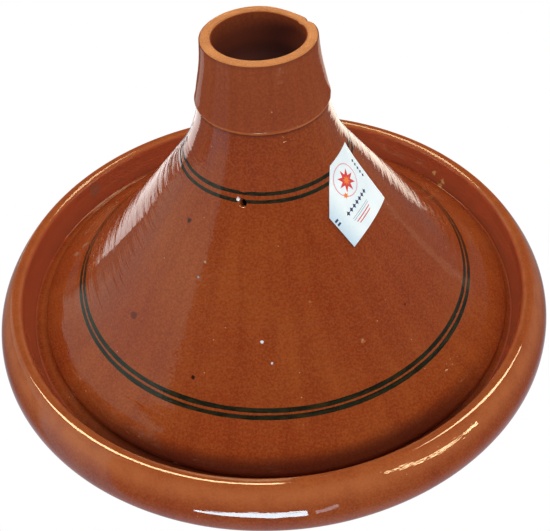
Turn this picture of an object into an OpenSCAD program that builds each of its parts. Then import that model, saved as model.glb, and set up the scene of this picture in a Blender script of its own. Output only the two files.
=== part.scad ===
// Moroccan cooking tagine: a heavy earthenware dish with a rolled rim and a gallery,
// and a lift-off conical lid with a hollow knob. Millimetres, +Z up.
// The origin is the centre of the dish's underside.
// Outlines are lists of [radius, height] that run so that the outside lies on their right.

/* [Dish] */
// Outside diameter of the dish, over the rolled rim
dish_d = 320; // [300:2:340]
// Height of the top of the rim
rim_top = 64.9; // [62:0.1:68]
// Radius at which the rim is highest
crest_r = 148; // [147:0.5:149]
// Diameter of the flat underside
foot_d = 188; // [160:2:210]
// Thickness of the dish's floor
floor_t = 10; // [7:0.5:14]
// Height of the gallery that the lid sits on
gallery_z = 47; // [45:0.5:49]
// Outer radius of the gallery, where the upright wall starts
gallery_r = 140.5; // [139:0.5:142]
// Inner radius of the gallery, where the bowl starts
bowl_r = 121; // [116:0.5:122]
// Height of the line where the outside glaze stops above the foot
glaze_line = 9; // [7:0.5:14]

/* [Lid] */
// Outside radius of the lid at its lower edge
lid_r = 134.8; // [132:0.1:135]
// Thickness of the lid's wall
lid_wall = 6.8; // [5:0.1:8]
// Height of the joint between the cone and the knob
neck_z = 179.6; // [178:0.2:184]
// Outside radius of the cone at that joint
neck_r = 32.5; // [31:0.1:33]
// How far the loose lid sits off the dish's centre line, in X and in Y
lid_off = [2, -1]; // [-2:0.5:2]

/* [Knob] */
// Height of the knob's flat rim
knob_top = 213.6; // [208:0.1:220]
// Outside radius of the knob at its rim
knob_r = 28; // [26:0.1:29]
// Outside radius of the knob at its widest, just above the joint
knob_belly_r = 33.8; // [33.6:0.1:35]
// Width of the knob's flat rim
knob_rim_w = 4.9; // [3.5:0.1:6]
// Depth of the hollow in the knob
knob_depth = 27; // [18:0.5:28]

/* [Glaze, paint and label] */
// Thickness of the glaze
glaze_t = 0.4; // [0.3:0.05:0.6]
// Thickness of the painted bands, and of the paper label
paint_t = 0.15; // [0.1:0.05:0.2]
// Width of each upper painted band, measured upwards
upper_band_w = 1.5; // [1:0.1:2]
// Width of each lower painted band, measured upwards
lower_band_w = 1.5; // [1:0.1:2]
// Radius of the steam vent through the cone
vent_r = 2.1; // [1.5:0.1:3]
// Side of the square paper label
label_side = 37.9; // [30:0.1:40]
// Length of the label's corner that is folded under, along each edge
label_fold = 18; // [8:0.5:20]

/* [Hidden] */

clay = "#b5683c";
glaze = "#8b3b18";
paint = "#2e2a1e";
paper = "#e6f0f0";

// ---------- outlines ----------

// Points on an arc about centre c from angle a to angle b
function arc(c, r, a, b, steps = 8) =
    [for (i = [0:steps]) let (t = a + (b - a) * i / steps) [c[0] + r * cos(t), c[1] + r * sin(t)]];

// One point of a Catmull-Rom curve between b and c
function between(a, b, c, d, t) =
    ((2 * b) + (c - a) * t + (2 * a - 5 * b + 4 * c - d) * t * t + (3 * b - a - 3 * c + d) * t * t * t) / 2;

// A smooth curve through the keys
function curve(keys, steps = 4) = let (n = len(keys) - 1)
    [for (i = [0:n - 1], s = [0:steps - 1])
        between(keys[max(i - 1, 0)], keys[i], keys[i + 1], keys[min(i + 2, n)], s / steps),
     keys[n]];

// The outline moved sideways by d, to its right-hand side
function shifted(pts, d) = let (n = len(pts) - 1)
    [for (i = [0:n]) let (run = pts[min(i + 1, n)] - pts[max(i - 1, 0)])
        pts[i] + d * [run[1], -run[0]] / norm(run)];

function reversed(pts) = [for (i = [len(pts) - 1:-1:0]) pts[i]];

// The rim is two rolls joined by their common tangent: a broad outer one and a tight inner one
outer_roll = [dish_d / 2 - 21, 44];
outer_roll_r = 21 - glaze_t;
inner_roll_r = 4 - glaze_t;
inner_roll = [crest_r, rim_top - glaze_t - inner_roll_r];
under_roll = [dish_d / 2 - 8, 44];
under_roll_r = 8 - glaze_t;
roll_step = inner_roll - outer_roll;
tangent = atan2(roll_step[1], roll_step[0]) - acos((outer_roll_r - inner_roll_r) / norm(roll_step));

foot_r = foot_d / 2;
heel = 5;
heel_end = 60;

dish_outside = concat(
    curve([[foot_r + 8, glaze_line], [foot_r + 19, 15.5], [foot_r + 34, 26.5], [foot_r + 46, 36.5]]),
    arc(under_roll, under_roll_r, -105, 0),
    arc(outer_roll, outer_roll_r, 0, tangent),
    arc(inner_roll, inner_roll_r, tangent, 170));
bowl_edge = 3;
dish_inside = concat(
    curve([[gallery_r + 3.7, rim_top - 7], [gallery_r + 2.5, rim_top - 11], [gallery_r, gallery_z]], 3),
    arc([bowl_r + bowl_edge, gallery_z - bowl_edge], bowl_edge, 90, 165, 5),
    curve([[bowl_r - 0.6, gallery_z - 5], [bowl_r - 3, 37], [bowl_r - 13, 22],
           [bowl_r - 30, floor_t + 2.5], [bowl_r - 50, floor_t]]),
    [[0, floor_t]]);
dish_glazed = concat(dish_outside, dish_inside);
dish_heel = arc([foot_r, heel], heel, -90, -90 + heel_end, 4);

// Outside of the lid's clay, from its lower edge up to the neck
lid_foot_z = gallery_z + glaze_t;
lid_edge = 3;
cone_outside = curve([[122.5, 59.4], [112, 66.2], [98, 80.5], [84, 97], [60.2, 127],
                      [43.2, 150], [35.4, 166.5], [neck_r - glaze_t, neck_z]]);
lid_outside = concat(
    arc([lid_r - glaze_t - lid_edge, lid_foot_z + lid_edge], lid_edge, -90, 40, 5), cone_outside);
dome_z = neck_z - 9;
lid_inside = concat(
    [for (p = shifted(cone_outside, -lid_wall)) if (p[1] < dome_z - 8) p],
    curve([[neck_r - 5, dome_z - 5], [neck_r - 12, dome_z - 1], [0, dome_z]]));
lid_mouth_r = lid_r - 9.5;

knob_floor = knob_top - knob_depth;
// How far below the knob's rim its glaze stops
bare_rim = 0.5;
knob_outside = curve([[knob_belly_r - glaze_t - 0.5, neck_z], [knob_belly_r - glaze_t, neck_z + 1.5],
                      [knob_belly_r - glaze_t - 0.7, neck_z + 4], [31.1, neck_z + 11.4],
                      [29.8, neck_z + 17.5], [28.7, neck_z + 24.5], [knob_r, knob_top]]);
knob_inside = concat(
    [[knob_r - knob_rim_w, knob_top]],
    curve([[knob_r - knob_rim_w, knob_top - 2], [knob_r - knob_rim_w + 0.8, knob_floor + 12],
           [knob_r - knob_rim_w - 0.5, knob_floor + 4], [knob_r - knob_rim_w - 6, knob_floor]]),
    [[0, knob_floor]]);

// Heights of the painted bands' middles
upper_bands = [151.6, 148.3];
lower_bands = [68.8, 66.4];

// The vent is pierced square to the cone's wall, left of the front
vent_at = [-106.8, 45.5, 147.4];
vent_tilt = 38;
// The label's middle: bearing, radius and height; and the wall's lean there
label_at = [-36.9, 51.2, 138.9];
label_tilt = 38.2;
label_turn = 7.2;

// ---------- shared shapes ----------

// A body of revolution with this outline
module turned(outline) {
    rotate_extrude($fn = 128) polygon(outline);
}

// A coat that lies between two distances outside an outline
module coat(outline, from, to) {
    turned(concat(shifted(outline, from), reversed(shifted(outline, to))));
}

// Everything on the lid stands where the loose lid sits
module on_lid() {
    translate([lid_off[0], lid_off[1], 0]) children();
}

// Stands its children on the cone at [bearing, radius, height], leaning back by tilt
module on_cone(at, tilt) {
    rotate(at[0]) translate([at[1], 0, at[2]]) rotate([0, 90 - tilt, 0]) children();
}

module vent_hole() {
    on_cone(vent_at, vent_tilt) translate([0, 0, -12]) cylinder(h = 24, r = vent_r, $fn = 48);
}

// A ring of paint on the cone's glaze, centred on height z
module band(z, width) {
    color(paint) on_lid() difference() {
        intersection() {
            coat(lid_outside, glaze_t, glaze_t + paint_t);
            translate([0, 0, z - width / 2]) cylinder(h = width, r = lid_r + 5, $fn = 128);
        }
        vent_hole();
    }
}

// ---------- the pieces ----------

// Thrown earthenware dish with its foot, gallery and rolled rim
module dish_body() {
    color(clay) turned(concat([[0, 0]], dish_heel, dish_glazed));
}

// Glaze inside the dish, over the rim and down the outside, short of the foot
module dish_glaze() {
    color(glaze) coat(dish_glazed, 0, glaze_t);
}

// Thrown cone of the lid, closed under the knob, with its steam vent
module lid_cone() {
    color(clay) on_lid() difference() {
        turned(concat(lid_outside, [[0, neck_z]], reversed(lid_inside), [[lid_mouth_r, lid_foot_z]]));
        vent_hole();
    }
}

// Cup-shaped knob, thrown apart and luted on the closed top of the cone
module lid_knob() {
    color(clay) on_lid() turned(concat([[0, neck_z]], knob_outside, knob_inside));
}

// Glaze on the outside of the cone
module lid_glaze() {
    color(glaze) on_lid() difference() {
        coat(lid_outside, 0, glaze_t);
        translate([0, 0, lid_foot_z - 1]) cylinder(h = 2, r = lid_r + 5, $fn = 128);
        vent_hole();
    }
}

// Glaze on the knob's side and in its hollow; its flat rim is bare clay
module knob_glaze() {
    color(glaze) on_lid() difference() {
        union() {
            coat(knob_outside, 0, glaze_t);
            coat(knob_inside, 0, glaze_t);
        }
        translate([0, 0, knob_top - bare_rim]) cylinder(h = 5, r = knob_r + 5, $fn = 128);
        translate([0, 0, neck_z - 5]) cylinder(h = 5.1, r = knob_r + 9, $fn = 128);
    }
}

module upper_band_high() {
    band(upper_bands[0], upper_band_w);
}

module upper_band_low() {
    band(upper_bands[1], upper_band_w);
}

module lower_band_high() {
    band(lower_bands[0], lower_band_w);
}

module lower_band_low() {
    band(lower_bands[1], lower_band_w);
}

// Square paper label on the cone, with its left corner folded under
module paper_label() {
    color(paper) on_lid() intersection() {
        coat(lid_outside, glaze_t + paint_t, glaze_t + 2 * paint_t);
        on_cone(label_at, label_tilt) rotate(90 + label_turn) translate([0, 0, -9]) linear_extrude(18)
            difference() {
                square(label_side, center = true);
                translate([-label_side / 2, label_side / 2]) rotate(45)
                    square(label_fold * sqrt(2), center = true);
            }
    }
}

dish_body();
dish_glaze();
lid_cone();
lid_knob();
lid_glaze();
knob_glaze();
upper_band_high();
upper_band_low();
lower_band_high();
lower_band_low();
paper_label();
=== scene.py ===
"""The tagine's looks: thrown clay, brown glaze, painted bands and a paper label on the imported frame."""

import math

import bmesh
import bpy
from mathutils import Matrix, Vector, noise


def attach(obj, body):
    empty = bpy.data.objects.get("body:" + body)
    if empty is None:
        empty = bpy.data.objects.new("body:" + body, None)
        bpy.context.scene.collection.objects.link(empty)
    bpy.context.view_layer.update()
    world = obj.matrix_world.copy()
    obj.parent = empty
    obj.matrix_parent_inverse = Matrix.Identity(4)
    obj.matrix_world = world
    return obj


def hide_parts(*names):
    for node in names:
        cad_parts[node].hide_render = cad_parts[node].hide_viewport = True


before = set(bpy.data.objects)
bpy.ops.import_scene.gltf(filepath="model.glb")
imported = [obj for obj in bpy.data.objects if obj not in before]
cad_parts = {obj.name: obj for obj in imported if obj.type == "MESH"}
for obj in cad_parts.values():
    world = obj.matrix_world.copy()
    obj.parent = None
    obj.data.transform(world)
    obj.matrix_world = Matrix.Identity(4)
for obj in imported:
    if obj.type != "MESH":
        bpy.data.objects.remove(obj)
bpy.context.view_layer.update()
MM = 0.001
AROUND = 256
SHARP = math.radians(50)

# Sizes in millimetres, the same as the CAD model's
RIM_TOP, FOOT_R, HEEL, FLOOR, GLAZE_LINE = 64.9, 94.0, 5.0, 10.0, 9.0
GALLERY_Z, GALLERY_R, BOWL_R, BOWL_EDGE = 47.0, 140.5, 121.0, 3.0
OUTER_ROLL, OUTER_ROLL_R = (139.0, 44.0), 21.0
CREST_R, INNER_ROLL_R, FLANK_R = 148.0, 4.0, 60.0
UNDER_ROLL, UNDER_ROLL_R = (152.0, 44.0), 8.0
GLAZE, PAPER = 0.4, 0.15
LID_AT = Vector((2.0, -1.0, 0.0))
LID_R, LID_WALL, LID_EDGE, NECK_Z, NECK_R = 134.8, 6.8, 3.0, 179.6, 32.5
LID_FOOT, DOME_Z = GALLERY_Z + GLAZE, NECK_Z - 9
KNOB_TOP, KNOB_R, BELLY_R, KNOB_RIM, KNOB_FLOOR = 213.6, 28.0, 33.8, 4.9, 186.6
BARE_RIM = 0.5
VENT_BEARING, VENT_R, VENT_AT = math.radians(-106.8), 2.1, (45.5, 147.4)
BANDS = {"upper_band_high": 151.6, "upper_band_low": 148.3, "lower_band_high": 68.8, "lower_band_low": 66.4}
BAND_WIDTH = 1.5
LABEL_BEARING, LABEL_AT, LABEL_LEAN, LABEL_TURN = math.radians(-36.9), (51.2, 138.9), 38.2, 7.2
LABEL_SIDE, LABEL_FOLD = 37.9, 18.0

# Small sizes in millimetres that only the looks have: the gap over the knob's rim, the vent's wider
# glaze and how far a painted line climbs over it, the bead of glaze, the paint's thickness at its edges
# and its crown, the label's gap and curl with its fold, and the inks
RIM_GAP, VENT_RELIEF, VENT_RISE = .01, .35, 1.8
BEAD_BEARING, BEAD_Z, BEAD_R = math.radians(-109.9), 148.9, 1.0
PAINT_FOOT, PAINT_TOP, PAINT_CROWN = .012, .018, .04
LABEL_GAP, CURL, FOLD_START, FOLD_RUN, FOLD_CURL = .05, .1, 7, 12, .6
INK, INK_SINK, INK_LIFT, ORANGE_LIFT = .02, .01, .012, .024

# The depth of the glaze's relief in metres, and how brightly paper and its inks glow: painted light that
# makes them brighter than the lamps do
RELIEF_DEPTH, PAPER_PAINTED_GLOW = .00036, .2


# ---------- outlines: lists of (radius, height) with the outside on their right ----------

def arc(centre, radius, start, end, steps):
    """Points on an arc, angles in degrees."""
    turn = [math.radians(start + (end - start) * i / steps) for i in range(steps + 1)]
    return [(centre[0] + radius * math.cos(a), centre[1] + radius * math.sin(a)) for a in turn]


def curve(keys, steps=12):
    """A Catmull-Rom curve through the keys."""
    last, points = len(keys) - 1, []
    for i in range(last):
        near = (keys[max(i - 1, 0)], keys[i], keys[i + 1], keys[min(i + 2, last)])
        for s in range(steps):
            t = s / steps
            points.append(tuple(
                (2 * b + (c - a) * t + (2 * a - 5 * b + 4 * c - d) * t * t
                 + (3 * b - a - 3 * c + d) * t ** 3) / 2 for a, b, c, d in zip(*near)))
    return points + [tuple(keys[last])]


def shifted(points, distance):
    """The outline moved sideways, to its right."""
    moved = []
    for i, (r, z) in enumerate(points):
        before, after = points[max(i - 1, 0)], points[min(i + 1, len(points) - 1)]
        dr, dz = after[0] - before[0], after[1] - before[1]
        run = math.hypot(dr, dz) or 1.0
        moved.append((r + distance * dz / run, z - distance * dr / run))
    return moved


def evenly(points, spacing, through):
    """The outline with even spacing and one of its new points where the old point nearest `through` is."""
    at = [0.0]
    for a, b in zip(points, points[1:]):
        at.append(at[-1] + math.dist(a, b))
    nearest = min(range(len(points)), key=lambda i: math.dist(points[i], through))
    stops, s = [0.0], at[nearest] % spacing
    while s < at[-1] - spacing / 3:
        if s > spacing / 3:
            stops.append(s)
        s += spacing
    return [walk(points, at, s) for s in stops + [at[-1]]]


def walk(points, at, s):
    """The point at length s along an outline whose points lie at the lengths `at`."""
    i = max(k for k in range(len(at) - 1) if at[k] <= s)
    t = (s - at[i]) / (at[i + 1] - at[i])
    return tuple(a + (b - a) * t for a, b in zip(points[i], points[i + 1]))


def toned(points, marks):
    """How much lighter (above 0) or darker (below 0) the glaze's colour is at each point of an outline, from
    thin or deep glaze and at some marks from painted light and shade. Each mark is a radius, a height, a
    reach and an amount."""
    return [sum(m[3] * bump_at(math.dist(p, m[:2]), 0, m[2]) for m in marks) for p in points]


def coat(points, thickness=GLAZE, start=0.0):
    """A closed outline for a skin that lies on another outline."""
    return shifted(points, start) + shifted(points, thickness)[::-1]


def flank(big_roll, big, small_roll, small, full):
    """The centre of the wide arc of radius `full` that joins two rolls from outside, and the angles in
    degrees where it meets them."""
    away, near, far = math.dist(big_roll, small_roll), full - big, full - small
    along = (near ** 2 - far ** 2 + away ** 2) / (2 * away)
    aside = math.sqrt(near ** 2 - along ** 2)
    up = ((small_roll[0] - big_roll[0]) / away, (small_roll[1] - big_roll[1]) / away)
    centre = (big_roll[0] + up[0] * along - up[1] * aside, big_roll[1] + up[1] * along + up[0] * aside)
    angles = [math.degrees(math.atan2(roll[1] - centre[1], roll[0] - centre[0]))
              for roll in (big_roll, small_roll)]
    return centre, angles


def dish_outlines():
    """The bare heel, and the glazed run from the glaze line over the rim to the middle of the floor."""
    big, small = OUTER_ROLL_R - GLAZE, INNER_ROLL_R - GLAZE
    inner_roll = (CREST_R, RIM_TOP - GLAZE - small)
    centre, (low, high) = flank(OUTER_ROLL, big, inner_roll, small, FLANK_R)
    outside = (curve([(FOOT_R + 8, GLAZE_LINE), (FOOT_R + 19, 15.5), (FOOT_R + 34, 26.5),
                      (FOOT_R + 46, 36.5)], 10)
               + arc(UNDER_ROLL, UNDER_ROLL_R - GLAZE, -105, 0, 16)
               + arc(OUTER_ROLL, big, 0, low, 18)[1:] + arc(centre, FLANK_R, low, high, 12)[1:-1]
               + arc(inner_roll, small, high, 170, 24))
    inside = (curve([(GALLERY_R + 3.7, RIM_TOP - 7), (GALLERY_R + 2.5, RIM_TOP - 11),
                     (GALLERY_R, GALLERY_Z)], 6)
              + [(GALLERY_R - 4 * i, GALLERY_Z) for i in range(1, 4)]
              + arc((BOWL_R + BOWL_EDGE, GALLERY_Z - BOWL_EDGE), BOWL_EDGE, 90, 165, 8)
              + curve([(BOWL_R - .6, GALLERY_Z - 5), (BOWL_R - 3, 37), (BOWL_R - 13, 22),
                       (BOWL_R - 30, FLOOR + 2.5), (BOWL_R - 50, FLOOR)], 6)
              + [(r, FLOOR) for r in (60, 48, 36, 24, 12, 4, 0)])
    return arc((FOOT_R, HEEL), HEEL, -90, -30, 6), outside + inside


def cone_outline():
    """The cone's clay from above the lid's edge up to the neck, with a point at the vent's middle."""
    keys = [(122.5, 59.4), (112, 66.2), (98, 80.5), (84, 97), (60.2, 127), (43.2, 150),
            (35.4, 166.5), (NECK_R - GLAZE, NECK_Z)]
    return evenly(curve(keys), 1.1, VENT_AT)


def knob_outlines():
    """The knob's side up to the rim, its bare rim, and its hollow down to the middle of its floor."""
    widest = BELLY_R - GLAZE
    side = curve([(widest - .5, NECK_Z), (widest, NECK_Z + 1.5), (widest - .7, NECK_Z + 4),
                  (31.1, NECK_Z + 11.4), (29.8, NECK_Z + 17.5), (28.7, NECK_Z + 24.5),
                  (KNOB_R, KNOB_TOP - .8)], 6)
    lip = KNOB_R - KNOB_RIM
    top = KNOB_TOP - RIM_GAP
    rim = [(KNOB_R - .2, top - .3), (KNOB_R - .8, top), (lip + 2, top), (lip + .8, top),
           (lip + .2, top - .3)]
    hollow = curve([(lip, KNOB_TOP - .8), (lip + .8, KNOB_FLOOR + 12),
                    (lip - .5, KNOB_FLOOR + 4), (lip - 6, KNOB_FLOOR)], 6)
    return side, rim, hollow + [(12, KNOB_FLOOR), (6, KNOB_FLOOR), (0, KNOB_FLOOR)]


# ---------- the unevenness of hand throwing ----------

# Dents and growths of the knob: bearing and width in degrees for the pressed rim and the nick; for the
# burr a bearing, a height and its half sizes along and up
PRESSED, NICK = (48, 30), (24, 4)
BURR_BEARING, BURR_Z, BURR_ALONG, BURR_UP = -13, 185.2, 1.6, 2.6
# The uneven edge of the dish's glaze: size, number of waves round the foot and start of each wave
EDGE_WAVES = ((1.2, 3, .6), (.8, 7, 0), (.5, 17, 2))


def bump_at(value, centre, width):
    """A smooth hump, 1 at the centre."""
    return math.exp(-((value - centre) / width) ** 2)


def clamp(value):
    """The value held between 0 and 1."""
    return max(0.0, min(1.0, value))


def turn_between(a, b):
    """The signed angle from bearing b to bearing a."""
    return (a - b + math.pi) % (2 * math.pi) - math.pi


def thrown(r, bearing, z):
    """Moves a point of a thrown wall in a little, with rings from the fingers and a slow drift. The rings
    are faint on the dish's rim and on the knob."""
    rings = math.sin(z * 1.15 + 1.4 * math.sin(bearing)) + .7 * math.sin(z * .47 + 2 * bearing)
    rings *= 1 - .85 * clamp((r - 125) / 15) - .6 * clamp((40 - r) / 5)
    drift = noise.noise(Vector((r * math.cos(bearing) * .02, r * math.sin(bearing) * .02, z * .03)))
    return r - min(1.0, r / 20) * (.1 - .035 * rings - .1 * drift), z


def knob_thrown(r, bearing, z):
    """The knob's rim is pressed in and nicked on its far right, and a burr stands on its right."""
    r, z = thrown(r, bearing, z)
    high, outer = clamp((z - 199) / 14), clamp((r - 20) / 8)
    dent, nick = (bump_at(turn_between(bearing, math.radians(at)), 0, math.radians(width))
                  for at, width in (PRESSED, NICK))
    dent, nick = dent * high * high, nick * high ** 8
    burr = bump_at(turn_between(bearing, math.radians(BURR_BEARING)) * r, 0, BURR_ALONG)
    burr *= bump_at(z, BURR_Z, BURR_UP)
    return r - (1.1 * dent + 1.3 * dent * outer + .9 * nick * outer) + 1.3 * burr * outer, z - .5 * nick


def wavy_glaze(r, bearing, z):
    """The glaze of the dish stops above the foot in an uneven line."""
    r, z = thrown(r, bearing, z)
    near = max(0.0, 1 - (z - GLAZE_LINE + 1) / 8) if r > FOOT_R + 6 else 0.0
    wave = sum(size * math.sin(count * bearing + start) for size, count, start in EDGE_WAVES)
    climb = max(0.0, wave + 1.0) * near
    return r + climb * 1.5, z + climb


# ---------- meshes ----------

def revolve(outline, centre=Vector(), shape=thrown, closed=False, phase=0.0, tones=None):
    """A body of revolution in millimetres, and its rings of points. A closed outline makes a ring-shaped
    body; an open one starts and ends on the axis. Each point keeps its tone."""
    bm, rings = bmesh.new(), []
    layer = bm.verts.layers.float.new("tone")
    for (r, z), tone in zip(outline, tones or [0.0] * len(outline)):
        ring = []
        for j in range(AROUND if r > 1e-6 else 1):
            bearing = phase + 2 * math.pi * j / AROUND
            radius, height = shape(r, bearing, z) if r > 1e-6 else (0.0, z)
            vert = bm.verts.new(centre + Vector((radius * math.cos(bearing),
                                                 radius * math.sin(bearing), height)))
            vert[layer] = tone
            ring.append(vert)
        rings.append(ring)
    pairs = list(zip(rings, rings[1:])) + ([(rings[-1], rings[0])] if closed else [])
    for low, high in pairs:
        for j in range(AROUND):
            corners = [low[j % len(low)], low[(j + 1) % AROUND % len(low)],
                       high[(j + 1) % AROUND % len(high)], high[j % len(high)]]
            corners = list(dict.fromkeys(corners))
            if len(corners) > 2:
                bm.faces.new(corners)
    return bm, rings


def face_strip(bm, first, second):
    """Joins two closed loops of as many points each with four-cornered faces."""
    for k in range(len(first)):
        n = (k + 1) % len(first)
        bm.faces.new((first[k], first[n], second[n], second[k]))


def skin(outline, marks, centre=Vector(), shape=thrown, phase=0.0):
    """A glaze skin that lies on an outline."""
    tones = toned(outline, marks)
    return revolve(coat(outline), centre, shape, True, phase, tones + tones[::-1])


def vent_edge(rings, at, radius):
    """Draws the mesh round the vent's middle, which is point 0 of ring number `at`, into circles, and
    returns the points of the innermost circle and those inside it."""
    half, centre = 2, rings[at][0].co.copy()
    side = rings[at][1].co - rings[at][-1].co
    out = side.cross(rings[at + 1][0].co - rings[at - 1][0].co)
    side = side.normalized()
    along = out.cross(side).normalized()
    for i in range(at - 3 * half, at + 3 * half + 1):
        for j in range(-3 * half, 3 * half + 1):
            vert = rings[i][j]
            u, v = (vert.co - centre).dot(side), (vert.co - centre).dot(along)
            far = max(abs(i - at), abs(j)) / half
            if 1 <= far <= 3:
                now = math.hypot(u, v)
                want = radius + (now - radius) * (far - 1) / 2
                vert.co += (side * u + along * v) * (want / now - 1)
    edge = ([rings[at - half + k][-half] for k in range(2 * half)]
            + [rings[at + half][-half + k] for k in range(2 * half)]
            + [rings[at + half - k][half] for k in range(2 * half)]
            + [rings[at - half][half - k] for k in range(2 * half)])
    inside = [rings[i][j] for i in range(at - half + 1, at + half) for j in range(1 - half, half)]
    return edge, inside


def pierce(bm, outer, inner, at, outer_radius, inner_radius):
    """Cuts the steam vent through a wall. outer and inner list the rings of its two faces in the same
    order, and the vent lies at ring number `at`, point 0."""
    edges = []
    for rings, radius in ((outer, outer_radius), (inner, inner_radius)):
        edge, inside = vent_edge(rings, at, radius)
        edges.append(edge)
        bmesh.ops.delete(bm, geom=inside, context="VERTS")
    face_strip(bm, *edges)


def piece(name, bm, body, nodes, material):
    """Makes an object of a finished mesh in millimetres and hands it to the frame."""
    bmesh.ops.scale(bm, vec=(MM, MM, MM), verts=bm.verts)
    bmesh.ops.recalc_face_normals(bm, faces=bm.faces)
    mesh = bpy.data.meshes.new(name)
    bm.to_mesh(mesh)
    bm.free()
    mesh.polygons.foreach_set("use_smooth", [True] * len(mesh.polygons))
    mesh.set_sharp_from_angle(angle=SHARP)
    mesh.materials.append(material)
    obj = bpy.data.objects.new(name, mesh)
    bpy.context.collection.objects.link(obj)
    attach(obj, body)
    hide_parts(*nodes)


# ---------- surfaces that lie on the cone ----------

def cone_at(outline, z):
    """The cone's radius at a height."""
    for (r0, z0), (r1, z1) in zip(outline, outline[1:]):
        if z0 <= z <= z1:
            return r0 + (r1 - r0) * (z - z0) / (z1 - z0)
    return outline[-1][0] if z > outline[-1][1] else outline[0][0]


def on_cone(outline, bearing, z, lift):
    """A point above the cone's clay, square to its wall."""
    slope = cone_at(outline, z + .5) - cone_at(outline, z - .5)
    lean = math.hypot(1, slope)
    r, z = thrown(cone_at(outline, z), bearing, z)
    r, z = r + lift / lean, z - lift * slope / lean
    return LID_AT + Vector((r * math.cos(bearing), r * math.sin(bearing), z))


def brush_edges(bearing, height, seed):
    """The heights of a painted line's two edges: it wanders, the brush leaves it thicker and thinner, and
    it passes over the steam vent."""
    turn = Vector((math.cos(bearing), math.sin(bearing), seed))
    middle = height + .16 * noise.noise(turn * 1.6) + .05 * noise.noise(turn * 9)
    half = BAND_WIDTH / 2 * (1.06 + .18 * noise.noise(turn * 3.3) + .1 * noise.noise(turn * 23))
    low, high = middle - half, middle + half
    aside = turn_between(bearing, VENT_BEARING) * VENT_AT[0] / (VENT_R + .15)
    if abs(aside) < 1 and abs(height - VENT_AT[1]) < 3:
        low = max(low, VENT_AT[1] + VENT_RISE * math.sqrt(1 - aside * aside))
        high = max(high, low + .2)
    return low, high


def painted_band(outline, height, seed):
    """A hand-painted line round the cone, a thin closed strip that lies on the glaze."""
    bm = bmesh.new()
    across, loops = 4, []
    for j in range(AROUND):
        bearing = VENT_BEARING + 2 * math.pi * j / AROUND
        low, high = brush_edges(bearing, height, seed)
        loop = []
        for outside, order in ((True, range(across + 1)), (False, range(across, -1, -1))):
            for k in order:
                t = k / across
                lift = GLAZE + (PAINT_TOP + PAINT_CROWN * t * (1 - t) if outside else PAINT_FOOT)
                loop.append(bm.verts.new(on_cone(outline, bearing, low + (high - low) * t, lift)))
        loops.append(loop)
    for a, b in zip(loops, loops[1:] + loops[:1]):
        face_strip(bm, a, b)
    return bm


def bead(outline, bearing, height, radius):
    """A small bead of glaze standing on the cone."""
    bm, loops, count, steps, sunk, flatness = bmesh.new(), [], 16, 4, .1, .6
    for i in range(steps + 1):
        out = radius * math.cos(math.pi / 2 * i / steps)
        lift = GLAZE - sunk + flatness * radius * math.sin(math.pi / 2 * i / steps)
        loop = []
        for j in range(count if i < steps else 1):
            turn = 2 * math.pi * j / count
            aside = out * math.cos(turn) / cone_at(outline, height)
            loop.append(bm.verts.new(on_cone(outline, bearing + aside, height + out * math.sin(turn), lift)))
        loops.append(loop)
    bm.faces.new(loops[0][::-1])
    for a, b in zip(loops, loops[1:]):
        for j in range(count):
            n = (j + 1) % count
            bm.faces.new(list(dict.fromkeys((a[j], a[n], b[n % len(b)], b[j % len(b)]))))
    return bm


def label_frame():
    """The label's middle and its right, up and outward directions on the cone."""
    lean = math.radians(LABEL_LEAN)
    out = Vector((math.cos(LABEL_BEARING) * math.cos(lean), math.sin(LABEL_BEARING) * math.cos(lean),
                  math.sin(lean)))
    right = Vector((-math.sin(LABEL_BEARING), math.cos(LABEL_BEARING), 0))
    turn = Matrix.Rotation(math.radians(LABEL_TURN), 3, out)
    middle = LID_AT + Vector((LABEL_AT[0] * math.cos(LABEL_BEARING),
                              LABEL_AT[0] * math.sin(LABEL_BEARING), LABEL_AT[1]))
    return middle, turn @ right, turn @ out.cross(right), out


def on_label(outline, u, v, lift):
    """A point of the label, u to the right and v upwards, laid on the cone with that lift."""
    middle, right, up, out = label_frame()
    flat = middle + right * u + up * v
    low, high, halvings = -6.0, 14.0, 26
    for _ in range(halvings):
        t = (low + high) / 2
        p = flat - out * t
        r = math.hypot(p.x - LID_AT.x, p.y - LID_AT.y)
        if r > cone_at(outline, p.z):
            low = t
        else:
            high = t
    p = flat - out * t
    bearing = math.atan2(p.y - LID_AT.y, p.x - LID_AT.x)
    return on_cone(outline, bearing, p.z, lift)


def sheet(outline, flat, base, thickness):
    """A thin closed sheet laid on the cone from a flat mesh whose x and y are label coordinates."""
    places = [vert.co.copy() for vert in flat.verts]
    flat.verts.index_update()
    bm = bmesh.new()
    layer = bm.verts.layers.float.new("tone")
    under, over = ([bm.verts.new(on_label(outline, p.x, p.y, lift + curl(p.x))) for p in places]
                   for lift in (base, base + thickness))
    # Each point's tone is how far into the fold it lies, and sets the painted shade of the part that turns
    # away
    for vert, p in zip(under + over, places + places):
        vert[layer] = folded(p.x)
    for face in flat.faces:
        index = [v.index for v in face.verts]
        bm.faces.new([over[i] for i in index])
        bm.faces.new([under[i] for i in reversed(index)])
    for edge in flat.edges:
        if edge.is_boundary:
            a, b = (v.index for v in edge.verts)
            bm.faces.new((under[a], under[b], over[b], over[a]))
    flat.free()
    return bm


def folded(u):
    """How far into the folded left part of the label a point lies, 0 to 1."""
    return max(0.0, (-u - FOLD_START) / FOLD_RUN)


def curl(u):
    """How far the label's folded left edge and its corners lift off the glaze."""
    return CURL + FOLD_CURL * folded(u) ** 2


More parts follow.
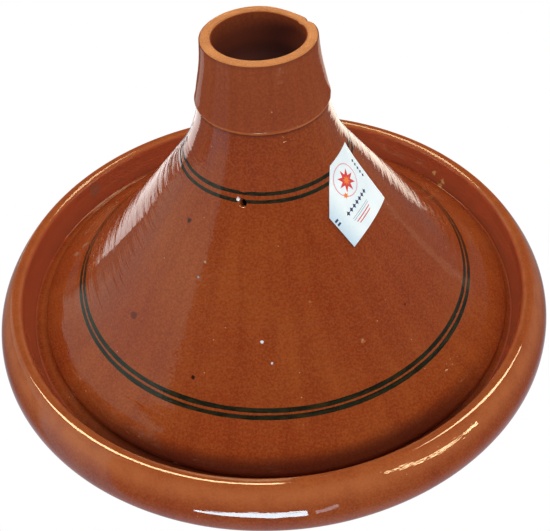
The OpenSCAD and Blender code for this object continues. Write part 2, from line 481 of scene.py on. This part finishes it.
def flat_shape(corners, cuts):
    """A flat mesh of one outline seen from its middle, divided so that it can bend."""
    bm = bmesh.new()
    middle = bm.verts.new((sum(x for x, _ in corners) / len(corners),
                           sum(y for _, y in corners) / len(corners), 0))
    ring = [bm.verts.new((x, y, 0)) for x, y in corners]
    for a, b in zip(ring, ring[1:] + ring[:1]):
        bm.faces.new((middle, a, b))
    for _ in range(cuts):
        bmesh.ops.subdivide_edges(bm, edges=bm.edges, cuts=1, use_grid_fill=True)
    return bm


# ---------- materials ----------

class Tree:
    """Short calls for building a node tree."""

    def __init__(self, tree):
        self.tree = tree

    def add(self, kind, inputs=(), out=0, **settings):
        """A new node's output. inputs says what each of its sockets gets, settings its own choices."""
        node = self.tree.nodes.new("ShaderNode" + kind)
        for key, value in settings.items():
            setattr(node, key, value)
        for key, value in dict(inputs).items():
            self.put(node, key, value)
        return node.outputs[out]

    def put(self, node, key, value):
        """Links a socket to an input of a node, or sets the input to a value."""
        if isinstance(value, bpy.types.NodeSocket):
            self.tree.links.new(value, node.inputs[key])
        else:
            node.inputs[key].default_value = value

    def math(self, operation, a, b=0.0):
        return self.add("Math", {0: a, 1: b}, operation=operation)

    def times(self, a, b):
        return self.math("MULTIPLY", a, b)

    def vector(self, operation, a, b):
        return self.add("VectorMath", {0: a, 1: b}, operation=operation)

    def noise(self, place, scale, detail=2.0, rough=.5):
        return self.add("TexNoise", {"Vector": place, "Scale": scale, "Detail": detail, "Roughness": rough})

    def step(self, value, low, high, to_low=0.0, to_high=1.0):
        """A smooth change from to_low at low to to_high at high, and level beyond."""
        return self.add("MapRange", {"Value": value, "From Min": low, "From Max": high,
                                     "To Min": to_low, "To Max": to_high}, interpolation_type="SMOOTHSTEP")

    def mix(self, factor, a, b):
        """Colour a turning into colour b with the factor."""
        node = self.tree.nodes.new("ShaderNodeMix")
        node.data_type = "RGBA"
        for key, value in ((0, factor), (6, a), (7, b)):
            self.put(node, key, value)
        return node.outputs[2]


def surface(name, colour, **constants):
    """A material with a Principled shader, and the tree to build its looks in."""
    material = bpy.data.materials.new(name)
    material.use_nodes = True
    material.diffuse_color = (*colour, 1)
    shader = material.node_tree.nodes["Principled BSDF"]
    shader.inputs["Base Color"].default_value = (*colour, 1)
    for key, value in constants.items():
        shader.inputs[key.replace("_", " ")].default_value = value
    return material, shader, Tree(material.node_tree)


def place(tree):
    """Where a point is on the pot at rest, in metres."""
    return tree.add("TexCoord", out=3)


def round_the_axis(tree, where, along, up):
    """Coordinates that stretch a pattern: along scales the way round, up the height."""
    right, back, height = tree.add("SeparateXYZ", {0: where}).node.outputs
    bearing = tree.math("ARCTAN2", back, right)
    return tree.add("CombineXYZ", {0: tree.times(tree.math("COSINE", bearing), along),
                                   1: tree.times(tree.math("SINE", bearing), along),
                                   2: tree.times(height, up)})


def spot(tree, where, centre, radius):
    """1 inside a small mark with a soft, ragged edge."""
    away = tree.vector("DISTANCE", where, tuple(c * MM for c in centre)).node.outputs[1]
    ragged = tree.math("ADD", tree.noise(where, 700.0), tree.times(tree.noise(where, 240.0), 2.4))
    rough = tree.math("ADD", away, tree.times(ragged, radius * MM))
    return tree.step(rough, radius * MM * 2.0, radius * MM * 2.6, 1.0, 0.0)


def from_axis(tree, where):
    """How far a point is from the pot's axis."""
    return tree.vector("LENGTH", tree.vector("MULTIPLY", where, (1.0, 1.0, 0.0)), (0, 0, 0)).node.outputs[1]


def glaze_relief(tree, where):
    """Throwing lines, a faint orange peel and a fine grain; calmer on the knob and on the dish, and most
    of all on the dish's flank."""
    lines = tree.noise(tree.vector("MULTIPLY", where, (26.0, 26.0, 430.0)), 1.0, 3.0, .6)
    ripple = tree.times(tree.noise(where, 110.0, 2.0), .45)
    fine = tree.times(tree.noise(where, 420.0, 1.0), .05)
    height = tree.math("ADD", tree.math("ADD", ripple, fine), tree.times(lines, .8))
    out, strength = from_axis(tree, where), 1.0
    for low, high, inside, outside in ((LID_R + 2, LID_R + 5, 1.0, .6), (BELLY_R, BELLY_R + 4, .4, 1.0),
                                       (CREST_R + 2, CREST_R + 5, 1.0, .4)):
        strength = tree.times(strength, tree.step(out, low * MM, high * MM, inside, outside))
    return tree.add("Bump", {"Height": height, "Distance": RELIEF_DEPTH, "Strength": strength})


def cover_with_glaze(tree, shader, where, colour):
    """Puts the colour and the glaze's relief on a shader, under its coat and in it."""
    tree.put(shader, "Base Color", colour)
    relief = glaze_relief(tree, where)
    tree.put(shader, "Normal", relief)
    tree.put(shader, "Coat Normal", relief)


# Small marks in the glaze, and painted glints of light on it: colour, place and radius in millimetres
MARKS_AND_GLINTS = (
    ((.030, .008, .006), (-41.7, -92.5, 77.3), 1.3),
    ((.060, .015, .010), (-38.5, -38.5, 134.2), 1.6),
    ((.150, .022, .008), (-72.0, -57.0, 86.0), 2.8),
    ((.050, .014, .008), (68.3, -63.2, 89.3), 1.2),
    ((.420, .300, .200), (-31.7, -56.4, 121.7), 1.1),
    ((.300, .380, .420), (-35.8, -59.9, 115.1), .9),
    ((.850, .880, .950), (-6.0, -87.2, 94.5), .85),
    ((.900, .930, 1.00), (-1.8, -94.2, 86.4), 1.15),
    ((.500, .240, .110), (44.3, -83.6, 87.0), 1.5),
    ((.420, .170, .070), (18.7, -74.9, 107.8), 1.3),
    # Painted glints: light sparkling on the far right of the inner wall
    ((.700, .400, .160), (113.0, 87.0, 54.0), 2.2),
    ((.700, .420, .170), (117.0, 80.0, 52.0), 3.0),
    ((.650, .380, .150), (116.0, 80.0, 48.0), 2.2),
    ((.340, .150, .090), (-118.0, 22.0, 60.0), 3.0),
    ((.300, .130, .080), (-112.0, 27.0, 63.0), 2.6),
    ((.300, .110, .060), (-113.0, 88.0, 57.0), 5.5),
    # A painted glint: the bright spot where light catches the glaze at the vent's upper left
    ((1.00, 1.00, 1.00), (-13.3, -43.3, 148.9), 2.0),
)


def ring_mask(tree, out, low, high, soft):
    """1 between two radii in millimetres, with soft edges outside them."""
    return tree.times(tree.step(out, (low - soft) * MM, low * MM),
                      tree.step(out, high * MM, (high + soft) * MM, 1.0, 0.0))


def knob_mask(tree, up):
    """1 on the knob."""
    return tree.step(up, NECK_Z * MM, (NECK_Z + 2) * MM)


def painted_light_and_tints(tree, where, colour):
    """The glaze's colour with painted light on the inner wall, lighter and more mauve, a mauve tint on the
    knob, painted shade on the lid's near foot and painted shade on the right side of the knob's hollow."""
    out, (right, back, up) = from_axis(tree, where), tree.add("SeparateXYZ", {0: where}).node.outputs
    wall, knob = ring_mask(tree, out, GALLERY_R - .5, 144.2, 1.0), knob_mask(tree, up)
    # Painted light: the inner wall lighter and more mauve than its lighting leaves it
    colour = tree.mix(tree.times(wall, .75), colour, (.450, .100, .044, 1))
    colour = tree.mix(tree.times(knob, .30), colour, (.300, .095, .055, 1))
    # Painted shade over the lid's near foot, where the rim shades it
    near = tree.times(ring_mask(tree, out, LID_R - 1, GALLERY_R, 8.0), tree.step(back, -.06, -.12, 0.0, .8))
    colour = tree.mix(near, colour, (.060, .011, .007, 1))
    # Painted shade on the right side of the knob's hollow
    cup_shade = tree.times(tree.step(out, 25 * MM, 23 * MM), tree.step(up, .212, .204))
    cup_shade = tree.times(cup_shade, tree.times(knob, tree.step(right, -.012, .020, 0.0, .7)))
    return tree.mix(cup_shade, colour, (.022, .011, .014, 1))


def polish_left(tree, where):
    """How much of the glaze's polish is left: less on the knob, the lid's edge and the far rim."""
    out, (_, back, up) = from_axis(tree, where), tree.add("SeparateXYZ", {0: where}).node.outputs
    rubbed = tree.step(tree.noise(where, 60.0, 3.0, .7), .5, .64, .92, .2)
    edge = tree.times(ring_mask(tree, out, LID_R - 8, LID_R + 2, 2.0), rubbed)
    far = tree.times(ring_mask(tree, out, 143.0, 160.0, 1.0), tree.step(back, .02, .06, 0.0, .5))
    lost = tree.math("MAXIMUM", edge, tree.math("MAXIMUM", far, tree.times(knob_mask(tree, up), .75)))
    return tree.math("SUBTRACT", 1.0, lost)


def glaze_material():
    """Brown glaze: clouded, streaked and grained, thin on edges and deep in corners, with pinholes, and with
    painted light, shade and glints.
    """
    material, shader, tree = surface("brown_glaze", (.30, .045, .009), Roughness=.5, Coat_Weight=1.0,
                                     Coat_Roughness=.03, Coat_IOR=1.5, Specular_IOR_Level=0.0)
    where = place(tree)
    tone = tree.add("Attribute", attribute_name="tone", out=2)
    cloud = tree.step(tree.noise(where, 16.0, 3.0, .6), .35, .68)
    streak = tree.step(tree.noise(round_the_axis(tree, where, 5.0, 6.0), 1.6, 3.0, .6), .38, .66)
    grain = tree.noise(where, 900.0, 2.0, .7)
    colour = tree.mix(cloud, (.298, .047, .0090, 1), (.345, .072, .0140, 1))
    colour = tree.mix(tree.times(streak, .5), colour, (.235, .032, .0070, 1))
    colour = tree.mix(tree.step(grain, .35, .75, 0.0, .4), colour, (.42, .11, .028, 1))
    colour = tree.mix(tree.step(grain, .65, .25, 0.0, .4), colour, (.17, .024, .005, 1))
    # Lighter where the tone is above 0: thin glaze, and at some marks painted light and a painted highlight
    patchy = tree.step(tree.noise(where, 120.0), .3, .6, .7, 1.0)
    thin = tree.times(tree.step(tone, .1, .9), patchy)
    colour = tree.mix(thin, colour, (.60, .185, .055, 1))
    # Darker where the tone is below 0: deep glaze, and at some marks painted shade
    colour = tree.mix(tree.step(tone, -.05, -.6, 0.0, .85), colour, (.125, .026, .015, 1))
    colour = tree.mix(tree.step(tone, -.7, -1.0, 0.0, .9), colour, (.040, .016, .015, 1))
    colour = painted_light_and_tints(tree, where, colour)
    cells = tree.add("TexVoronoi", {"Vector": where, "Scale": 170.0, "Randomness": 1.0})
    chance = tree.step(tree.add("SeparateColor", {0: cells.node.outputs[1]}), .78, .80)
    pinhole = tree.times(tree.times(chance, tree.step(cells, .03, .075, 1.0, 0.0)), .8)
    colour = tree.mix(pinhole, colour, (.70, .36, .18, 1))
    for tint, centre, radius in MARKS_AND_GLINTS:
        colour = tree.mix(spot(tree, where, centre, radius), colour, (*tint, 1))
    tree.put(shader, "Coat Weight", polish_left(tree, where))
    cover_with_glaze(tree, shader, where, colour)
    return material


def clay_material():
    """Bare fired clay: cloudy, gritty and pitted."""
    material, shader, tree = surface("bare_clay", (.70, .27, .085), Roughness=.85,
                                     Specular_IOR_Level=.25)
    where = place(tree)
    cloud = tree.noise(where, 40.0, 4.0, .6)
    grain = tree.noise(where, 1400.0, 3.0, .7)
    colour = tree.mix(tree.step(cloud, .3, .7), (.55, .19, .052, 1), (.70, .27, .080, 1))
    colour = tree.mix(tree.step(grain, .35, .75, 0.0, .45), colour, (.86, .42, .17, 1))
    pits = tree.add("TexVoronoi", {"Vector": where, "Scale": 480.0})
    colour = tree.mix(tree.step(pits, .10, .2, .4, 0.0), colour, (.30, .09, .03, 1))
    tree.put(shader, "Base Color", colour)
    tree.put(shader, "Normal", tree.add("Bump", {"Height": grain, "Distance": .0001, "Strength": .7}))
    return material


def paint_material():
    """Dark paint under the glaze, with brush marks, greenish patches and worn grains."""
    material, shader, tree = surface("band_paint", (.018, .018, .010), Roughness=.5, Coat_Weight=1.0,
                                     Coat_Roughness=.03, Specular_IOR_Level=0.0)
    where = place(tree)
    brush = tree.noise(round_the_axis(tree, where, 14.0, 900.0), 1.0, 3.0, .6)
    patch = tree.noise(where, 60.0, 2.0)
    grain = tree.noise(where, 900.0, 2.0, .7)
    colour = tree.mix(tree.step(brush, .35, .7), (.010, .011, .006, 1), (.032, .026, .010, 1))
    colour = tree.mix(tree.step(patch, .5, .75, 0.0, .6), colour, (.014, .026, .014, 1))
    colour = tree.mix(tree.step(grain, .6, .8, 0.0, .3), colour, (.12, .05, .015, 1))
    cover_with_glaze(tree, shader, where, colour)
    return material


def paper_material(name, colour, shade):
    """Paper or ink on paper. It glows a little, painted light that brightens it; the painted shade shows
    where the sheet turns away, by its tone.
    """
    material, shader, tree = surface(name, colour, Roughness=.38, Specular_IOR_Level=.4)
    where = place(tree)
    fibre = tree.noise(where, 700.0, 3.0, .6)
    tone = tree.add("Attribute", attribute_name="tone", out=2)
    cloud = tree.step(tree.noise(where, 55.0, 2.0), .3, .7, 0.0, .35)
    blend = tree.mix(tree.math("MAXIMUM", cloud, tone), (*colour, 1), (*shade, 1))
    printed = tree.mix(tree.step(fibre, .4, .8, 0.0, .12), blend, (.4, .45, .45, 1))
    tree.put(shader, "Base Color", printed)
    # Painted light: the paper and its inks glow with their own colour
    tree.put(shader, "Emission Color", printed)
    shader.inputs["Emission Strength"].default_value = PAPER_PAINTED_GLOW
    tree.put(shader, "Normal", tree.add("Bump", {"Height": fibre, "Distance": .00003, "Strength": .4}))
    return material


# ---------- the pieces ----------

# Where the glaze's colour is lighter (above 0) or darker (below 0), from thin or deep glaze and at some
# marks from painted light and shade: radius, height, reach and amount
# On the dish: the crest's inner edge lighter, thin glaze with a painted highlight; the gallery corner deep;
# the rim's top lighter, thin glaze with painted light; the gallery floor lighter with painted light; darker
# under the outer roll; thin glaze by the glaze line
DISH_TONES = ((145.2, 63.7, 1.6, .35), (GALLERY_R, GALLERY_Z, 1.2, -.3), (152.0, 60.0, 9.0, .5),
              (136.0, GALLERY_Z, 5.5, .34), (153.0, 37.0, 5.0, -.4), (104.0, 12.0, 3.0, .5))
# On the lid: painted shade over its foot, and deep glaze in the joint at the neck
LID_TONES = ((131.0, 53.5, 4.5, -.3), (32.2, 179.0, 1.5, -.5))
KNOB_TONES = ((33.3, 180.4, 1.0, .9), (31.0, 194.0, 24.0, -.13), (27.9, 212.5, 1.2, -.3))
# In the knob's hollow: deeper glaze, which also stands in for the shade there
HOLLOW_TONES = ((23.0, 190.0, 15.0, -.8), (5.0, KNOB_FLOOR, 20.0, -.5))

# The label's inks, lit flat on and in painted shade where the sheet turns away; and the middle of the sun on
# it
INKS = {"pink": ((.80, .35, .38), (.70, .35, .42)), "red": ((.72, .04, .03), (.55, .04, .04)),
        "orange": ((.86, .22, .03), (.75, .18, .03)), "navy": ((.03, .035, .09), (.03, .04, .12)),
        "grey": ((.36, .40, .44), (.30, .38, .44))}
SUN = (2.6, 6.6)


def build_dish(clay, glaze):
    """The dish's clay and its glaze."""
    heel, glazed = dish_outlines()
    bm, _ = revolve([(0, 0), (40, 0), (80, 0)] + heel + glazed)
    piece("dish_clay", bm, "dish", ["dish_body"], clay)
    bm, _ = skin(glazed, DISH_TONES, shape=wavy_glaze)
    piece("dish_glaze_skin", bm, "dish", ["dish_glaze"], glaze)


def build_cone(clay, glaze, cone):
    """The cone's clay and glaze, both pierced by the vent, and the bead of glaze beside it."""
    edge = arc((LID_R - GLAZE - LID_EDGE, LID_FOOT + LID_EDGE), LID_EDGE, -90, 40, 12)
    wall = [p for p in shifted(cone, -LID_WALL) if p[1] < DOME_Z - 8]
    dome = curve([(NECK_R - 5, DOME_Z - 5), (NECK_R - 12, DOME_Z - 1), (0, DOME_Z)], 6)
    bm, rings = revolve([(0, DOME_Z)] + dome[-2::-1] + wall[::-1] + [(LID_R - 9.5, LID_FOOT)] + edge
                        + cone + [(0, NECK_Z)], LID_AT, phase=VENT_BEARING)
    vent = cone.index(min(cone, key=lambda p: math.dist(p, VENT_AT)))
    inner = rings[len(dome):len(dome) + len(wall)][::-1]
    outer = rings[-len(cone) - 1:-1]
    pierce(bm, outer, inner, vent, VENT_R, VENT_R)
    piece("lid_clay", bm, "lid", ["lid_cone"], clay)
    run = edge[1:] + cone
    bm, rings = skin(run, LID_TONES, LID_AT, phase=VENT_BEARING)
    inner, outer = rings[:len(run)], rings[:len(run) - 1:-1]
    pierce(bm, outer, inner, vent + len(edge) - 1, VENT_R + VENT_RELIEF, VENT_R)
    piece("lid_glaze_skin", bm, "lid", ["lid_glaze"], glaze)
    piece("vent_bead", bead(cone, BEAD_BEARING, BEAD_Z, BEAD_R), "lid", ["lid_glaze"], glaze)


def build_knob(clay, glaze):
    """The knob's clay, and the glaze on its side and in its hollow; its rim stays bare."""
    side, rim, hollow = knob_outlines()
    bm, _ = revolve([(0, NECK_Z)] + side + rim + hollow, LID_AT, knob_thrown)
    piece("knob_clay", bm, "lid", ["lid_knob"], clay)
    for name, run, marks in (("knob_side_glaze", side, KNOB_TONES),
                             ("knob_hollow_glaze", hollow, HOLLOW_TONES)):
        run = [p for p in run if p[1] < KNOB_TOP - BARE_RIM]
        bm, _ = skin(run, marks, LID_AT, knob_thrown)
        piece(name, bm, "lid", ["knob_glaze"], glaze)


def build_bands(cone):
    """The four painted bands, each with its own wander."""
    paint = paint_material()
    for i, (node, height) in enumerate(BANDS.items()):
        piece(node + "_paint", painted_band(cone, height, 3.0 * i), "lid", [node], paint)


def star(centre, outer, inner, points):
    """The corners of a star."""
    return [(centre[0] + (inner if i % 2 else outer) * math.cos(math.pi * i / points),
             centre[1] + (inner if i % 2 else outer) * math.sin(math.pi * i / points))
            for i in range(2 * points)]


def bar(left, low, width, height):
    """The corners of a bar."""
    return [(left, low), (left + width, low), (left + width, low + height), (left, low + height)]


def flat_ring(centre, inner, outer):
    """A flat ring of four-cornered faces."""
    bm, count, loops = bmesh.new(), 64, []
    for radius in (inner, outer):
        loops.append([bm.verts.new((centre[0] + radius * math.cos(2 * math.pi * i / count),
                                    centre[1] + radius * math.sin(2 * math.pi * i / count), 0))
                      for i in range(count)])
    for i in range(count):
        n = (i + 1) % count
        bm.faces.new((loops[0][i], loops[1][i], loops[1][n], loops[0][n]))
    return bm


def build_label(cone):
    """The paper label: a square sheet with its folded-under corner cut away, and a plain ornament printed on
    it.
    """
    # The second colour is the painted shade where the folded part turns away
    paper = paper_material("label_paper", (.90, .97, .97), (.52, .68, .78))
    half, cut = LABEL_SIDE / 2, LABEL_FOLD
    shape = [(half, half), (-half + cut, half), (-half, half - cut), (-half, -half), (half, -half)]
    label_piece("label_sheet", cone, flat_shape(shape, 5), GLAZE + LABEL_GAP, PAPER, paper)
    for ink, shapes in ornament().items():
        material = paper_material("print_" + ink, *INKS[ink])
        lift = ORANGE_LIFT if ink == "orange" else INK_LIFT
        for i, flat in enumerate(shapes):
            label_piece(f"print_{ink}_{i}", cone, flat, GLAZE + LABEL_GAP + PAPER - INK_SINK + lift, INK,
                        material)


def ornament():
    """The flat shapes printed in each ink: a sun in a ring, rows of small diamonds, and rules."""
    return {
        "pink": [flat_ring((2.3, 7.1), 8.0, 8.6)],
        "red": [flat_shape(star(SUN, 6.3, 3.0, 8), 2)]
        + [flat_shape(bar(-8 + i, -12.2 - 1.6 * i, 13 - 2 * i, .55), 3) for i in range(2)],
        "orange": [flat_shape(star(SUN, 2.6, 1.3, 8), 1), flat_shape(star((-3.6, 1.8), 1.8, .9, 6), 1)],
        "navy": [flat_shape(star((-9.2 + 2.9 * i, -5.3), 1.5, .75, 4), 1) for i in range(7)]
        + [flat_shape(star((15.4, 9.5 - 2.4 * i), 1.2, .5, 4), 1) for i in range(5)]
        + [flat_shape(bar(-18.2, -3.4 - 2.2 * i, 2.2, 1.1), 2) for i in range(2)],
        "grey": [flat_shape(bar(-9, -9.4 - 1.1 * i, 15, .35), 3) for i in range(2)],
    }


def label_piece(name, cone, flat, base, thickness, material):
    """One sheet or print of the label."""
    piece(name, sheet(cone, flat, base, thickness), "lid", ["paper_label"], material)


# ---------- camera, floor and light ----------

# The camera in millimetres and degrees
EYE, TARGET, CAMERA_ROLL, LENS, SENSOR = (2.76, -368.9, 420.0), (2.76, 0, 61.4), -3.66, 57.2, 36.0

# The bright cards that the lid and the rim mirror: corners in millimetres, colour and strength
FLOOR_REACH = 20000.0
CARDS = {
    "left_card": ([(-120, 180, 1), (-290, 203, 1), (-430, 312, 1), (-640, 500, 1), (-365, 415, 1),
                   (-165, 285, 1), (-105, 285, 1)], (1.0, .95, .92), 1.9),
    "right_card": ([(60, 300, 1), (125, 228, 1), (166, 179, 1), (232, 200, 1), (268, 262, 1),
                    (285, 385, 1), (150, 400, 1)], (1.0, .90, .76), 2.2),
    "front_card": ([(-122, -290, 6), (26, -290, 6), (26, -290, 42), (-44, -290, 48), (-122, -290, 20)],
                   (.62, .88, 1.0), 22.0),
    "faint_card": ([(36, -290, 14), (66, -290, 30), (66, -290, 48), (36, -290, 34)], (.85, .90, 1.0), 4.0),
    "side_card": ([(131, -266, 93), (184, -233, 75), (239, -169, 62), (239, -169, 65), (184, -233, 78),
                   (131, -265, 96)], (1.0, .80, .46), 32.0),
}

# What else the gloss mirrors: colours, and the limits of each panel with the width of its soft edge.
# Bearings and heights are in degrees, a bearing of 0 is straight behind the pot and 90 to its right;
# right, back and up are parts of the direction
PANELS = (
    ((.50, .62, .58), {"bearing": (-118, -52, 2.5), "height": (-3, 44, 4)}),
    ((.20, .55, .70), {"bearing": (-118, -92, 6), "height": (-45, -6, 8)}),
    ((.45, .38, .30), {"bearing": (58.5, 61.5, 1.5), "height": (-9, 8, 3)}),
    ((24, 19.5, 11), {"right": (-.68, -.02, .03), "back": (.08, .36, .03), "up": (.62, 1, .04)}),
    ((22, 18, 11), {"right": (.36, .72, .03), "back": (.10, .36, .03), "up": (.62, 1, .04)}),
)


def add_camera():
    """The camera in front of the pot, looking down at it."""
    eye, target = Vector(EYE) * MM, Vector(TARGET) * MM
    data = bpy.data.cameras.new("camera")
    data.lens, data.sensor_width = LENS, SENSOR
    camera = bpy.data.objects.new("camera", data)
    bpy.context.collection.objects.link(camera)
    look = (target - eye).to_track_quat("-Z", "Y").to_matrix().to_4x4()
    camera.matrix_world = Matrix.Translation(eye) @ look @ Matrix.Rotation(math.radians(CAMERA_ROLL), 4, "Z")
    bpy.context.scene.camera = camera


def glow_card(name, corners, colour, strength):
    """A plain flat sheet that shines evenly; part of the studio."""
    material = bpy.data.materials.new(name)
    material.use_nodes = True
    nodes, links = material.node_tree.nodes, material.node_tree.links
    nodes.clear()
    glow, out = nodes.new("ShaderNodeEmission"), nodes.new("ShaderNodeOutputMaterial")
    glow.inputs["Color"].default_value = (*colour, 1)
    glow.inputs["Strength"].default_value = strength
    links.new(glow.outputs[0], out.inputs["Surface"])
    mesh = bpy.data.meshes.new(name)
    mesh.from_pydata([Vector(c) * MM for c in corners], [], [tuple(range(len(corners)))])
    mesh.materials.append(material)
    card = bpy.data.objects.new(name, mesh)
    bpy.context.collection.objects.link(card)
    card.visible_diffuse = card.visible_shadow = False
    return card


def add_floor():
    """A plain white floor, and the bright cards, which only the gloss shows."""
    side = FLOOR_REACH
    floor = glow_card("floor", [(-side, -side, 0), (side, -side, 0), (side, side, 0), (-side, side, 0)],
                      (1, 1, 1), 1.0)
    floor.visible_glossy = False
    for name, (corners, colour, strength) in CARDS.items():
        glow_card(name, corners, colour, strength).visible_camera = False


def panel_mask(tree, measures, limits):
    """1 inside a panel's limits."""
    inside = 1.0
    for measure, (low, high, soft) in limits.items():
        value = measures[measure]
        inside = tree.times(inside, tree.times(tree.step(value, low - soft, low),
                                               tree.step(value, high, high + soft, 1.0, 0.0)))
    return inside


def add_light():
    """A soft studio: an even dome for the matt light, and panels that only the gloss shows."""
    world = bpy.data.worlds.new("studio")
    world.use_nodes = True
    tree = Tree(world.node_tree)
    right, back, up = tree.add("SeparateXYZ", {0: tree.add("TexCoord", out=0)}).node.outputs
    height = tree.math("DEGREES", tree.math("ARCSINE", up))
    measures = {"right": right, "back": back, "up": up, "height": height,
                "bearing": tree.math("DEGREES", tree.math("ARCTAN2", right, back))}
    dome = tree.mix(tree.step(height, -60, 80), (.62, .60, .58, 1), (1.05, 1.05, 1.05, 1))
    shown = tree.mix(tree.step(height, 32, 14), (.04, .04, .04, 1), (.17, .17, .17, 1))
    shown = tree.mix(tree.step(height, -22, -55), shown, (.55, .60, .70, 1))
    for colour, limits in PANELS:
        shown = tree.mix(panel_mask(tree, measures, limits), shown, (*colour, 1))
    glossy = tree.add("LightPath", out=3)
    sky = world.node_tree.nodes["Background"]
    tree.put(sky, "Color", tree.mix(glossy, dome, shown))
    bpy.context.scene.world = world
    bpy.context.scene.view_settings.view_transform = "Standard"


add_camera()
add_floor()
add_light()
clay, glaze = clay_material(), glaze_material()
cone = cone_outline()
build_dish(clay, glaze)
build_cone(clay, glaze, cone)
build_knob(clay, glaze)
build_bands(cone)
build_label(cone)
